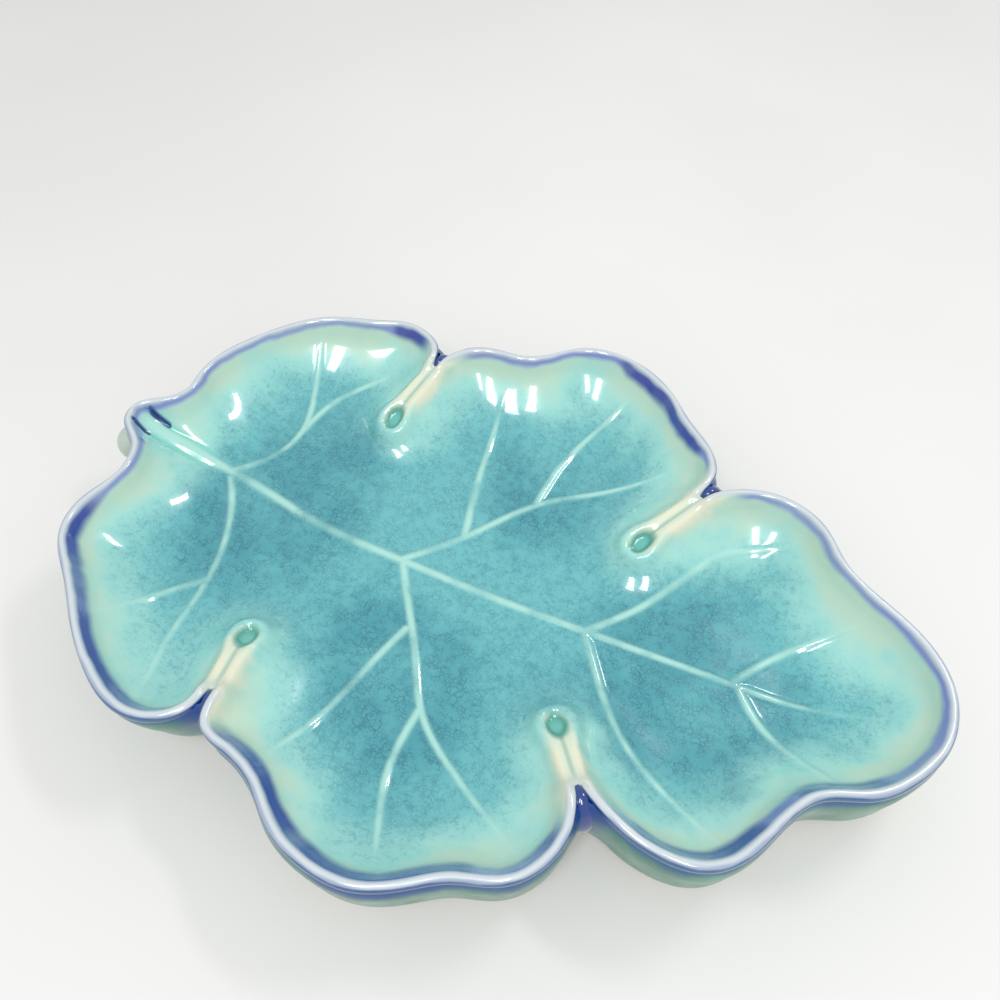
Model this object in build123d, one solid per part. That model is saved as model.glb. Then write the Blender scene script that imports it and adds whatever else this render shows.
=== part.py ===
from build123d import *
import os

import numpy as np

os.makedirs("parts", exist_ok=True)

# Ring dish in the shape of a lobed leaf, in millimetres
# X runs along the midrib from the stem to the tip, Y across the leaf and Z up from the table

# Whole dish
LIP_LENGTH = 125.0
LIP_WIDTH = 90.0
RIM_HEIGHT = 16.0
FLOOR_HEIGHT = 6.5
FOOT_HEIGHT = 2.5

# Lip and outer wall
LIP_RADIUS = 1.5
OUTER_LIP_ANGLES = [-25, 20, 45, 70]
INNER_LIP_ANGLES = [70, 45, 20, -10]
WALL_OUTSIDE = 1.0
WALL_BULGE_HEIGHT = 9.0
WALL_BEND_HEIGHT = 5.0
WALL_BEND_OUTSIDE = 0.6
WALL_HEEL_HEIGHT = 3.2
WALL_HEEL_INSIDE = 0.8
BASE_INSIDE = 2.6

# Bowl
WALL_RUN = 14.0
NOTCH_DEPTH = 3.4
DEPTH_SHARES = [0.12, 0.26, 0.44, 0.66, 0.88]

# Folded notches
RIDGE_RADIUS = 0.9
RIDGE_OFFSET = 1.05
LOOP_RADIUS = 2.2
GROOVE_WIDTH = 0.3
CORNER_REACH = 1.5
CORNER_CLEAR = 3.2
WELL_RADIUS = 1.25
WELL_DEPTH = 2.2
WELL_MARGIN = 0.3
POOL_DROP = 0.9

# Where a fold starts and its neck is, as shares of the notch's length
FOLD_START_SHARE = 0.17
FOLD_NECK_SHARE = 0.5

# How far the fold runs before and past the keyhole's centre, and how far out, as shares of its loop
NECK_END_SHARE = 1.5
NECK_END_OUT_SHARE = 0.55
SHOULDER_SHARE = 0.33
SHOULDER_OUT_SHARE = 0.94
TURN_SHARE = 0.7
TURN_OUT_SHARE = 0.74

# Veins
MIDRIB_RADIUS = 0.85
VEIN_RADIUS = 0.55
VEIN_TIP_RADIUS = 0.35
VEIN_LIFT = 0.15
VEIN_TIP_SINK = 0.6
VEIN_SECTIONS = 7
VEIN_FADE = 6

# Stem stub
KNOB_RADIUS = 3.2
KNOB_HEIGHT = 9.5
STEM_WELL_RADIUS = 0.6
STEM_WELL_DEPTH = 1.2
STEM_POOL_DROP = 0.4

# Glaze and cobalt
COAT = 0.3
COBALT_DEPTH = 3.0
COBALT_FOLD_CLEAR = 4.5
COBALT_STEM_CLEAR = 9.0
COBALT_OUTSIDE_WIDTH = 2.0
UNDER_LIP_HEIGHT = 12.7
GLAZE_LOW = 4.0
MOUTH_POOL_RADIUS = 1.5
MOUTH_POOL_LENGTH = 6.0

# Foot ring
FOOT_HALF_LENGTH = 40.0
FOOT_HALF_WIDTH = 25.0
FOOT_THICKNESS = 4.0
FOOT_EDGE = 0.6

# One overrun serves all cuts
OVERRUN = 5.0

# Spacing of the samples along the lip, and how many are passed over between sections
LIP_SAMPLE = 0.5
NEAREST_SHARE = 0.25
FOLD_STRIDE = 4
OUTLINE_STRIDE = 6
LEVEL_STRIDE = 10
LEVEL_STEP = 0.4
LEVEL_CLOSE = 0.001
SCRAP_VOLUME = 0.5

RIM_CENTRE_HEIGHT = RIM_HEIGHT - LIP_RADIUS
WALL_RISE = RIM_CENTRE_HEIGHT - FLOOR_HEIGHT

# The middle of the lip, as shares of its length and width about the dish's centre
LOW_LEFT_SHARES = [
    (-0.447, -0.104), (-0.442, -0.140), (-0.452, -0.212), (-0.442, -0.267), (-0.399, -0.321),
    (-0.347, -0.381), (-0.296, -0.427), (-0.244, -0.450), (-0.205, -0.437), (-0.184, -0.400),
]
LOW_MID_SHARES = [
    (-0.158, -0.413), (-0.120, -0.430), (-0.079, -0.450), (-0.043, -0.483), (0.002, -0.500),
    (0.046, -0.497), (0.088, -0.467), (0.124, -0.433), (0.166, -0.407), (0.192, -0.362), (0.198, -0.316),
]
END_SHARES = [
    (0.216, -0.267), (0.247, -0.283), (0.284, -0.290), (0.326, -0.277), (0.356, -0.233), (0.378, -0.167),
    (0.400, -0.128), (0.443, -0.097), (0.478, -0.046), (0.500, 0.028), (0.492, 0.103), (0.456, 0.161),
    (0.402, 0.201), (0.360, 0.239), (0.327, 0.292), (0.280, 0.316), (0.240, 0.306), (0.212, 0.283),
]
UP_MID_SHARES = [
    (0.188, 0.316), (0.179, 0.349), (0.134, 0.406), (0.098, 0.454), (0.059, 0.487), (0.013, 0.500),
    (-0.035, 0.484), (-0.072, 0.437), (-0.101, 0.414), (-0.137, 0.406), (-0.169, 0.387),
]
UP_LEFT_SHARES = [
    (-0.216, 0.360), (-0.242, 0.386), (-0.274, 0.391), (-0.308, 0.372), (-0.344, 0.353), (-0.376, 0.332),
    (-0.408, 0.291), (-0.439, 0.226), (-0.459, 0.161), (-0.461, 0.103), (-0.457, 0.063), (-0.468, 0.032),
    (-0.484, 0.014), (-0.498, -0.006), (-0.497, -0.034), (-0.479, -0.057), (-0.460, -0.075),
]
LOBE_SHARES = [LOW_LEFT_SHARES, LOW_MID_SHARES, END_SHARES, UP_MID_SHARES, UP_LEFT_SHARES]

# Mouth and keyhole centre of the notch after each of the first four lobes
NOTCH_SHARES = [
    ((-0.172, -0.392), (-0.196, -0.268)),
    ((0.201, -0.275), (0.146, -0.180)),
    ((0.197, 0.287), (0.144, 0.164)),
    ((-0.199, 0.350), (-0.218, 0.209)),
]

# Veins from root to tip
MIDRIB_SHARES = [
    (-0.492, -0.008), (-0.462, -0.009), (-0.432, -0.003), (-0.373, -0.004), (-0.240, -0.024), (-0.107, -0.024),
    (0.023, -0.016), (0.128, -0.004), (0.249, 0.011), (0.302, 0.017), (0.368, 0.026), (0.425, 0.042),
]
VEIN_SHARES = [
    [(-0.373, 0.000), (-0.344, 0.059), (-0.334, 0.132), (-0.350, 0.209), (-0.372, 0.290)],
    [(-0.334, 0.132), (-0.320, 0.230), (-0.285, 0.290)],
    [(-0.368, -0.016), (-0.343, -0.061), (-0.314, -0.134), (-0.300, -0.203), (-0.285, -0.316), (-0.264, -0.385)],
    [(-0.300, -0.203), (-0.328, -0.254), (-0.348, -0.322)],
    [(-0.108, -0.021), (-0.056, 0.067), (0.000, 0.181), (0.065, 0.258), (0.130, 0.325)],
    [(-0.058, 0.070), (-0.085, 0.200), (-0.103, 0.318)],
    [(0.001, 0.187), (0.008, 0.318), (0.038, 0.428)],
    [(-0.104, -0.030), (-0.071, -0.090), (-0.025, -0.176), (0.006, -0.236), (0.075, -0.301), (0.138, -0.345)],
    [(-0.057, -0.131), (-0.070, -0.207), (-0.081, -0.291), (-0.094, -0.375)],
    [(0.005, -0.240), (0.010, -0.341), (0.036, -0.420)],
    [(0.128, -0.004), (0.172, 0.073), (0.212, 0.164), (0.235, 0.214), (0.282, 0.255)],
    [(0.129, -0.008), (0.167, -0.076), (0.209, -0.141), (0.264, -0.188), (0.306, -0.216)],
    [(0.300, 0.023), (0.344, 0.107), (0.382, 0.152)],
    [(0.306, 0.014), (0.336, -0.026), (0.390, -0.070)],
]
KNOB_SHARE = (-0.497, -0.045)
STEM_WELL_SHARES = [(-0.483, -0.034), (-0.472, 0.011)]


def place(share):
    return np.array([share[0] * LIP_LENGTH, share[1] * LIP_WIDTH])


def notch_axis(notch):
    mouth, keyhole = (place(share) for share in notch)
    reach = np.hypot(*(keyhole - mouth))
    inward = (keyhole - mouth) / reach
    return mouth, keyhole, inward, np.array([-inward[1], inward[0]]), reach


def loop_end(notch):
    mouth, keyhole, inward, across, reach = notch_axis(notch)
    return keyhole + inward * LOOP_RADIUS


# The fold of one notch, in at one side, round its loop and out at the other
def fold_points(notch, first_side):
    mouth, keyhole, inward, across, reach = notch_axis(notch)
    along_and_out = [
        (reach * FOLD_START_SHARE, RIDGE_OFFSET),
        (reach * FOLD_NECK_SHARE, RIDGE_OFFSET),
        (reach - LOOP_RADIUS * NECK_END_SHARE, LOOP_RADIUS * NECK_END_OUT_SHARE),
        (reach - LOOP_RADIUS * SHOULDER_SHARE, LOOP_RADIUS * SHOULDER_OUT_SHARE),
        (reach + LOOP_RADIUS * TURN_SHARE, LOOP_RADIUS * TURN_OUT_SHARE),
    ]
    going_in = [mouth + inward * a + across * first_side * o for a, o in along_and_out]
    coming_out = [mouth + inward * a - across * first_side * o for a, o in along_and_out]
    return going_in + [loop_end(notch)] + coming_out[::-1]


# The lip is one closed line that runs round the lobes and folds into each notch
def lip_points():
    points = []
    for index, shares in enumerate(LOBE_SHARES):
        points += [place(share) for share in shares]
        if index < len(NOTCH_SHARES):
            mouth, keyhole, inward, across, reach = notch_axis(NOTCH_SHARES[index])
            side = 1.0 if (points[-2] - mouth) @ across > 0 else -1.0
            points += fold_points(NOTCH_SHARES[index], side)
    return points


def sample_lip():
    edge = Edge.make_spline([Vector(*p) for p in lip_points()], periodic=True)
    count = int(edge.length / LIP_SAMPLE)
    spots = np.array([[p.X, p.Y] for p in (edge @ (i / count) for i in range(count))])
    ahead = np.roll(spots, -1, axis=0) - np.roll(spots, 1, axis=0)
    ahead /= np.hypot(ahead[:, 0], ahead[:, 1])[:, None]
    return spots, ahead


LIP_LINE, LIP_AHEAD = sample_lip()
LIP_OUTWARD = np.stack([LIP_AHEAD[:, 1], -LIP_AHEAD[:, 0]], axis=1)


# A smooth line through plan points, as evenly spread samples
def smooth_line(points, count):
    edge = Edge.make_spline([Vector(*p) for p in points])
    return np.array([[p.X, p.Y] for p in (edge @ (i / count) for i in range(count + 1))])


def nearest(point):
    return int(np.argmin(np.hypot(*(LIP_LINE - point).T)))


# The lip line's samples at which each fold begins and ends
def fold_ends():
    ends = []
    for notch in NOTCH_SHARES:
        mouth, keyhole, inward, across, reach = notch_axis(notch)
        start = mouth + inward * reach * FOLD_START_SHARE
        sides = [nearest(start + across * side * RIDGE_OFFSET) for side in (1, -1)]
        ends.append((min(sides), max(sides)))
    return ends


FOLD_ENDS = fold_ends()


# The lip line's samples from one notch to the next, without the folds
def rim_spans():
    spans = []
    for k, (first, last) in enumerate(FOLD_ENDS):
        following = FOLD_ENDS[(k + 1) % len(FOLD_ENDS)][0]
        following += len(LIP_LINE) if following < last else 0
        spans.append(np.arange(last, following + 1) % len(LIP_LINE))
    return spans


SPANS = rim_spans()
RIM_LINE = np.concatenate([LIP_LINE[span] for span in SPANS])


def mouth_of(k):
    return notch_axis(NOTCH_SHARES[k % len(NOTCH_SHARES)])


# The closed outline at some distance outside the lip line, with a corner in each notch
def outline(outside, height):
    edges = []
    for k, span in enumerate(SPANS):
        corners = []
        for notch in (k, k + 1):
            mouth, keyhole, inward, across, reach = mouth_of(notch)
            corners.append(mouth - inward * outside * CORNER_REACH)
        inner = [i for i in span[::OUTLINE_STRIDE]
                 if min(np.hypot(*(LIP_LINE[i] - mouth_of(n)[0])) for n in (k, k + 1)) > CORNER_CLEAR]
        line = [corners[0]] + [LIP_LINE[i] + LIP_OUTWARD[i] * outside for i in inner] + [corners[1]]
        edges.append(Edge.make_spline([Vector(p[0], p[1], height) for p in line]))
    return Wire(edges)


# Samples that stand for the walls: the rim, and each notch, softened as its fold gets lower
def wall_samples():
    spots = [RIM_LINE]
    softening = [np.zeros(len(RIM_LINE))]
    for notch in NOTCH_SHARES:
        mouth, keyhole, inward, across, reach = notch_axis(notch)
        count = int(reach / LIP_SAMPLE)
        along = (np.arange(count) + 0.5) / count
        spots.append(mouth + along[:, None] * reach * inward)
        softening.append(NOTCH_DEPTH * along)
    return np.concatenate(spots), np.concatenate(softening) ** 2


WALL_SPOTS, WALL_SOFTENING = wall_samples()


# Depth inside the walls, smooth where two walls come near, and the way inward
def wall_depth(point):
    away = point - WALL_SPOTS
    apart = np.maximum((away ** 2).sum(axis=1) + WALL_SOFTENING, (LIP_SAMPLE * NEAREST_SHARE) ** 2)
    pull = (apart ** -2.5).sum()
    inward = (away * (apart ** -3.5)[:, None]).sum(axis=0)
    return (4.0 / (3.0 * LIP_SAMPLE * pull)) ** 0.25, inward / np.hypot(*inward)


# Height of the clay inside the dish at some depth from the walls
def height_at(depth):
    return FLOOR_HEIGHT + WALL_RISE * max(1 - depth / WALL_RUN, 0) ** 2


def bowl_heights(spots):
    return np.array([height_at(wall_depth(spot)[0]) for spot in spots])


# Where the level line of a depth crosses the middle of a notch
def crossing(notch, depth):
    mouth, keyhole, inward, across, reach = notch_axis(notch)
    near, far = 0.0, reach + WALL_RUN
    while far - near > LEVEL_CLOSE:
        middle = (near + far) / 2
        if wall_depth(mouth + inward * middle)[0] < depth:
            near = middle
        else:
            far = middle
    return mouth + inward * far


# Follows a level line with the inside on its left, from one notch to the next
def follow(start, finish, depth):
    line = [start]
    spot = start
    left_start = False
    while not left_start or np.hypot(*(spot - finish)) > LEVEL_STEP:
        here, inward = wall_depth(spot)
        spot = spot + LEVEL_STEP * np.array([inward[1], -inward[0]])
        here, inward = wall_depth(spot)
        spot = spot + inward * (depth - here)
        line.append(spot)
        left_start = left_start or np.hypot(*(spot - start)) > 2 * LEVEL_STEP
    return np.array(line + [finish])


def evenly(line, count):
    lengths = np.concatenate([[0.0], np.cumsum(np.hypot(*np.diff(line, axis=0).T))])
    spread = np.linspace(0, lengths[-1], count + 1)
    return np.stack([np.interp(spread, lengths, line[:, 0]), np.interp(spread, lengths, line[:, 1])], axis=1)


def level_spans(depth):
    corners = [crossing(notch, depth) for notch in NOTCH_SHARES]
    spans = []
    for k, corner in enumerate(corners):
        line = follow(corner, corners[(k + 1) % len(corners)], depth)
        spans.append(evenly(line, len(SPANS[k]) // LEVEL_STRIDE))
    return spans


# Distance from the lip's middle and height of the point on its round at an angle above level
def lip_round(angle):
    return LIP_RADIUS * np.cos(np.radians(angle)), RIM_CENTRE_HEIGHT + LIP_RADIUS * np.sin(np.radians(angle))


LIP_LEVELS = [(height, level_spans(depth)) for depth, height in (lip_round(angle) for angle in INNER_LIP_ANGLES)]
BOWL_LEVELS = [(height_at(share * WALL_RUN), level_spans(share * WALL_RUN)) for share in DEPTH_SHARES]


def level_wire(spans, height):
    return Wire([Edge.make_spline([Vector(p[0], p[1], height) for p in span]) for span in spans])


# The hollow of the dish, as deep as a coat of some thickness leaves it
def hollow(levels, coat):
    return Solid.make_loft([level_wire(spans, height + coat) for height, spans in levels[::-1]], ruled=True)


# A round bar of changing radius through plan points at given heights, with its seam underneath
def bar(spots, heights, radii):
    aheads = np.gradient(np.column_stack([spots, heights]), axis=0)
    sections = []
    for spot, height, radius, ahead in zip(spots, heights, radii, aheads):
        plane = Plane(origin=(spot[0], spot[1], height), x_dir=(0, 0, -1), z_dir=Vector(*ahead))
        sections.append(Wire.make_circle(radius, plane))
    return Solid.make_loft(sections)


# The two ridges of each fold, in one bar that turns round the keyhole
def fold_bars():
    bars = []
    for first, last in FOLD_ENDS:
        steps = np.unique(np.append(np.arange(first, last, FOLD_STRIDE), last))
        bars.append(bar(LIP_LINE[steps], bowl_heights(LIP_LINE[steps]), np.full(len(steps), RIDGE_RADIUS)))
    return bars


def prism(wire, low, high):
    return Solid.extrude(Face(wire), Vector(0, 0, high - low)).moved(Location((0, 0, low)))


def column(centre, radius, low, high):
    return Solid.make_cylinder(radius, high - low, Plane((centre[0], centre[1], low)))


def wall_block(coat, low, high):
    levels = [
        (-BASE_INSIDE, FOOT_HEIGHT), (-WALL_HEEL_INSIDE, WALL_HEEL_HEIGHT), (WALL_BEND_OUTSIDE, WALL_BEND_HEIGHT),
        (WALL_OUTSIDE, WALL_BULGE_HEIGHT), (WALL_OUTSIDE, UNDER_LIP_HEIGHT),
    ] + [lip_round(angle) for angle in OUTER_LIP_ANGLES]
    block = Solid.make_loft([outline(outside + coat, height) for outside, height in levels], ruled=True)
    slab = Box(LIP_LENGTH + 2 * OVERRUN, LIP_WIDTH + 2 * OVERRUN, high - low,
               align=(Align.CENTER, Align.CENTER, Align.MIN))
    return block & slab.moved(Location((0, 0, low)))


def knob():
    centre = place(KNOB_SHARE)
    return Solid.make_sphere(KNOB_RADIUS).moved(Location((centre[0], centre[1], KNOB_HEIGHT)))


def open_bowl(shape):
    height, spans = LIP_LEVELS[0]
    return shape - hollow(LIP_LEVELS + BOWL_LEVELS, 0) - prism(level_wire(spans, 0), height, RIM_HEIGHT + OVERRUN)


# The slit between the two ridges of a fold
def groove(notch):
    mouth, keyhole, inward, across, reach = notch_axis(notch)
    side = across * GROOVE_WIDTH / 2
    outer = mouth - inward * LIP_RADIUS * CORNER_REACH
    corners = [outer - side, keyhole - side, keyhole + side, outer + side]
    slit = Wire.make_polygon([Vector(p[0], p[1], 0) for p in corners], close=True)
    return prism(slit, UNDER_LIP_HEIGHT, RIM_HEIGHT + OVERRUN)


def vein_bar(shares, root_radius, tip_radius):
    line = smooth_line([place(share) for share in shares], VEIN_SECTIONS)
    along = np.linspace(0, 1, len(line))
    heights = bowl_heights(line) + VEIN_LIFT - VEIN_TIP_SINK * along ** VEIN_FADE
    return bar(line, heights, root_radius + (tip_radius - root_radius) * along)


def vein_bars():
    bars = [vein_bar(MIDRIB_SHARES, MIDRIB_RADIUS, VEIN_TIP_RADIUS)]
    return bars + [vein_bar(shares, VEIN_RADIUS, VEIN_TIP_RADIUS) for shares in VEIN_SHARES]


# Round wells in the clay: one in each keyhole and one on either side of the midrib in the stem
def wells():
    places = [(notch_axis(notch)[1], WELL_RADIUS, WELL_DEPTH) for notch in NOTCH_SHARES]
    places += [(place(share), STEM_WELL_RADIUS, STEM_WELL_DEPTH) for share in STEM_WELL_SHARES]
    return [(centre, radius, bowl_heights([centre])[0], depth) for centre, radius, depth in places]


def clay(folds, veins):
    body = open_bowl(wall_block(0, FOOT_HEIGHT, RIM_HEIGHT) + knob())
    for piece in folds:
        body = body.fuse(piece)
    body = body.fuse(*veins)
    for notch in NOTCH_SHARES:
        body = body - groove(notch)
    for centre, radius, top, depth in wells():
        body = body - column(centre, radius, top - depth, RIM_HEIGHT + OVERRUN)
    return body


def foot():
    ring = Ellipse(FOOT_HALF_LENGTH, FOOT_HALF_WIDTH)
    ring = ring - Ellipse(FOOT_HALF_LENGTH - FOOT_THICKNESS, FOOT_HALF_WIDTH - FOOT_THICKNESS)
    body = extrude(ring, FOOT_HEIGHT)
    return chamfer(body.faces().sort_by(Axis.Z)[0].edges(), FOOT_EDGE)


# Where the coat inside is turquoise: within the cobalt line, which stops short of the folds and the stem
def turquoise_zone():
    zone = prism(level_wire(level_spans(COBALT_DEPTH), 0), 0, RIM_HEIGHT)
    for notch in NOTCH_SHARES:
        mouth, keyhole, inward, across, reach = notch_axis(notch)
        zone = zone + column((mouth + keyhole) / 2, reach / 2 + COBALT_FOLD_CLEAR, 0, RIM_HEIGHT)
    return zone + column(place(KNOB_SHARE), COBALT_STEM_CLEAR, 0, RIM_HEIGHT)


def inside_coats(folds, veins):
    coat = hollow(BOWL_LEVELS, 0) - hollow(BOWL_LEVELS, COAT)
    zone = turquoise_zone()
    turquoise = coat & zone
    for piece in folds:
        turquoise = turquoise - piece
    turquoise = turquoise - veins
    for centre, radius, top, depth in wells():
        turquoise = turquoise - column(centre, radius + WELL_MARGIN, 0, RIM_HEIGHT)
    return turquoise, coat - zone


def outside_coats():
    body = wall_block(0, FOOT_HEIGHT, RIM_HEIGHT) + knob()
    split = UNDER_LIP_HEIGHT - COBALT_OUTSIDE_WIDTH
    return wall_block(COAT, GLAZE_LOW, split) - body, wall_block(COAT, split, UNDER_LIP_HEIGHT) - body


def keyhole_pools():
    return [column(centre, radius, top - depth, top - POOL_DROP)
            for centre, radius, top, depth in wells()[:len(NOTCH_SHARES)]]


# Cobalt in the corner between two lobes outside each notch, and in the stem's wells
def cobalt_pools():
    coated = wall_block(COAT, FOOT_HEIGHT, RIM_CENTRE_HEIGHT)
    pools = []
    for notch in NOTCH_SHARES:
        mouth, keyhole, inward, across, reach = notch_axis(notch)
        corner = mouth - inward * (WALL_OUTSIDE + COAT) * CORNER_REACH
        drop = column(corner, MOUTH_POOL_RADIUS, UNDER_LIP_HEIGHT - MOUTH_POOL_LENGTH, UNDER_LIP_HEIGHT)
        pools.append((drop - coated).solids().sort_by(SortBy.VOLUME)[-1])
    for centre, radius, top, depth in wells()[len(NOTCH_SHARES):]:
        pools.append(column(centre, radius, top - depth, top - STEM_POOL_DROP))
    return pools


def whole_solids(shape):
    solids = shape if isinstance(shape, list) else shape.solids()
    return [solid for solid in solids if solid.volume > SCRAP_VOLUME]


def save(name, shape):
    pieces = [piece.moved(CENTRING) for piece in whole_solids(shape)]
    node = pieces[0] if len(pieces) == 1 else Compound(children=pieces)
    node.label = name
    export_step(node, f"parts/{name}.step")
    print(name, len(pieces), round(sum(piece.volume for piece in pieces), 1), all(piece.is_valid for piece in pieces))


FOLDS = fold_bars()
VEINS = vein_bars()
BODY = clay(FOLDS, VEINS)
BOX = BODY.bounding_box()
CENTRING = Location((-(BOX.min.X + BOX.max.X) / 2, -(BOX.min.Y + BOX.max.Y) / 2, 0))
INSIDE_GLAZE, COBALT_INSIDE = inside_coats(FOLDS, VEINS)
OUTSIDE_GLAZE, COBALT_OUTSIDE = outside_coats()

save("clay_body", BODY)
save("foot_ring", foot())
save("inside_glaze", INSIDE_GLAZE)
save("cobalt_line_inside", COBALT_INSIDE)
save("outside_glaze", OUTSIDE_GLAZE)
save("cobalt_line_outside", COBALT_OUTSIDE)
save("notch_glaze_pools", keyhole_pools())
save("cobalt_pools", cobalt_pools())
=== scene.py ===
import math

import bpy
import numpy as np
from mathutils import Matrix, Vector, kdtree
from mathutils.geometry import tessellate_polygon


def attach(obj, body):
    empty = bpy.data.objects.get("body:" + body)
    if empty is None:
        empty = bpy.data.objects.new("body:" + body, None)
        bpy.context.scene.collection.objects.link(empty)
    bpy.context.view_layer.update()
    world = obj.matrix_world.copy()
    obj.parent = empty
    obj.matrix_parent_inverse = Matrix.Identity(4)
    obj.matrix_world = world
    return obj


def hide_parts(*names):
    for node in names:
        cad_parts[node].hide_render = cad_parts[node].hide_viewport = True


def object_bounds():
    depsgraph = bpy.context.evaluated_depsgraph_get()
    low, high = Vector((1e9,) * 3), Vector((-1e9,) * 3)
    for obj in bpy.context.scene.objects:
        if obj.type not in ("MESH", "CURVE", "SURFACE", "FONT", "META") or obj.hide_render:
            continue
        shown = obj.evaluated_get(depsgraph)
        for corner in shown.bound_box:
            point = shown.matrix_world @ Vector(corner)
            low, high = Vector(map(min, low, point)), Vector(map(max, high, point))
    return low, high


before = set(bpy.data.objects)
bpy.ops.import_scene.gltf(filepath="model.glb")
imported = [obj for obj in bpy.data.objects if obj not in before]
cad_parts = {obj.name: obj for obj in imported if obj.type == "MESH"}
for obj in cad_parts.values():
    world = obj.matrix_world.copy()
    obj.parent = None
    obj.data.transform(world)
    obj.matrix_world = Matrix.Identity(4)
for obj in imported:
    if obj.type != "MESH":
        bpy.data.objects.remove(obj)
CAD_LOW, CAD_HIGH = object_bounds()

# Lengths are in millimetres until a mesh is made
MM = 0.001

# Whole dish
LIP_LENGTH = 125.0
LIP_WIDTH = 90.0
FLOOR_HEIGHT = 6.5
FOOT_HEIGHT = 2.5

# Lip and outer wall
LIP_RADIUS = 0.85
LIP_LIFT = 0.5
LIP_SPREAD = 1.3
LIP_SOFTENING = 1.0
RIM_CENTRE_HEIGHT = 14.5
SOLID_LIP_OUTSIDE = 1.41
WALL_OUTSIDE = 0.95
WALL_BULGE_HEIGHT = 9.5
WALL_BEND_HEIGHT = 5.0
WALL_BEND_OUTSIDE = 0.4
WALL_TUCK_HEIGHT = 14.5
WALL_TUCK_OUTSIDE = 0.55
WALL_HEEL_HEIGHT = 3.2
WALL_HEEL_INSIDE = 0.8
BASE_INSIDE = 2.6
UNDERCUT = 3.6
UNDERCUT_SHARE = (-0.29, -0.40)
UNDERCUT_REACH = 27.0
UNDERCUT_NEAR_SHARE = 0.5
CORNER_REACH = 1.5
CORNER_CLEAR = 3.2

# Bowl and folds
WALL_RUN = 14.0
NOTCH_DEPTH = 3.4
RIDGE_RADIUS = 0.75
RIDGE_LIFT = 0.15
RIDGE_SPREAD = 1.45
RIDGE_OFFSET = 1.05
LOOP_RADIUS = 2.2
FOLD_START_SHARE = 0.17
FOLD_NECK_SHARE = 0.5
NECK_END_SHARE = 1.5
NECK_END_OUT_SHARE = 0.55
SHOULDER_SHARE = 0.33
SHOULDER_OUT_SHARE = 0.94
TURN_SHARE = 0.7
TURN_OUT_SHARE = 0.74
POOL_RADIUS = 1.55
POOL_STRETCH = 1.4
POOL_BACK = 0.3
POOL_SINK = 0.7
POOL_BED_SHARE = 0.4
POOL_EDGE_SHARE = 1.15
FLANK_TAPER = 0.4
STEM_LIP_RADIUS = 0.75
STEM_LIP_NEAR = 4.0
STEM_LIP_REACH = 9.0
LIP_DROP = 2.0
OUTER_RIM_SHARE = 0.5
TUBE_SINK_SHARE = 0.7
FOLD_SINK_SHARE = 0.5

# Veins
MIDRIB_RADIUS = 0.85
VEIN_RADIUS = 0.64
VEIN_TIP_RADIUS = 0.42
GULLY_OFFSET = 1.35
GULLY_BREADTH = 0.5
GULLY_DEPTH = 0.18
GULLY_NEAR = 6.0
GULLY_REACH = 17.0
VEIN_LIFT = 0.3
VEIN_RUN_OUT = 3.6
VEIN_FADE_SHARE = 0.86
VEIN_END_CREST = 0.25

# Spacing of samples
LIP_STEP = 0.25
NEAR_STEP = 0.1
WALL_STEP = 0.5
FIELD_STEP = 0.22
TUBE_SIDES = 20
FIELD_MARGIN = 0.5
FIELD_STRIDE = 4
OUTLINE_STRIDE = 10
RING_STRIDE = 2
RING_STEP = 0.7
DRIP_STEP = 0.3
VEIN_END_SAMPLES = 5
NEAREST_WALL_SHARE = 0.25
DEPTH_BATCH = 4096
RIM_SMOOTHING = 60
CREST_SMOOTHING = 12

# Unevenness of hand-pressed clay: its size, its wavelength and a seed for its draws
RADIUS_WAVES = (0.06, 22, 5)
CREST_WAVES = (0.10, 30, 8)
FLOOR_WAVES = (0.12, 26, 3)
FLOOR_WAVES_NEAR = 2.0
FLOOR_WAVES_FULL = 7.0
WAVE_COUNT = 7
WAVE_SHORTEST = 0.7
WAVE_LONGEST = 1.6

WALL_RISE = RIM_CENTRE_HEIGHT - FLOOR_HEIGHT

# The middle of the lip, as shares of its length and width about the dish's centre
LOW_LEFT_SHARES = [
    (-0.447, -0.104), (-0.442, -0.140), (-0.452, -0.212), (-0.442, -0.267), (-0.399, -0.321),
    (-0.347, -0.381), (-0.296, -0.427), (-0.244, -0.450), (-0.205, -0.437), (-0.184, -0.400),
]
LOW_MID_SHARES = [
    (-0.158, -0.413), (-0.120, -0.430), (-0.079, -0.450), (-0.043, -0.483), (0.002, -0.500),
    (0.046, -0.497), (0.088, -0.467), (0.124, -0.433), (0.166, -0.407), (0.192, -0.362), (0.198, -0.316),
]
END_SHARES = [
    (0.216, -0.267), (0.247, -0.283), (0.284, -0.290), (0.326, -0.277), (0.356, -0.233), (0.378, -0.167),
    (0.400, -0.128), (0.443, -0.097), (0.478, -0.046), (0.500, 0.028), (0.492, 0.103), (0.456, 0.161),
    (0.402, 0.201), (0.360, 0.239), (0.327, 0.292), (0.280, 0.316), (0.240, 0.306), (0.212, 0.283),
]
UP_MID_SHARES = [
    (0.188, 0.316), (0.179, 0.349), (0.134, 0.406), (0.098, 0.454), (0.059, 0.487), (0.013, 0.500),
    (-0.035, 0.484), (-0.072, 0.437), (-0.101, 0.414), (-0.137, 0.406), (-0.169, 0.387),
]
UP_LEFT_SHARES = [
    (-0.216, 0.360), (-0.242, 0.386), (-0.274, 0.391), (-0.308, 0.372), (-0.344, 0.353), (-0.376, 0.332),
    (-0.408, 0.291), (-0.439, 0.226), (-0.459, 0.161), (-0.461, 0.103), (-0.457, 0.063), (-0.468, 0.032),
    (-0.484, 0.014), (-0.498, -0.006), (-0.497, -0.034), (-0.479, -0.057), (-0.460, -0.075),
]
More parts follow.
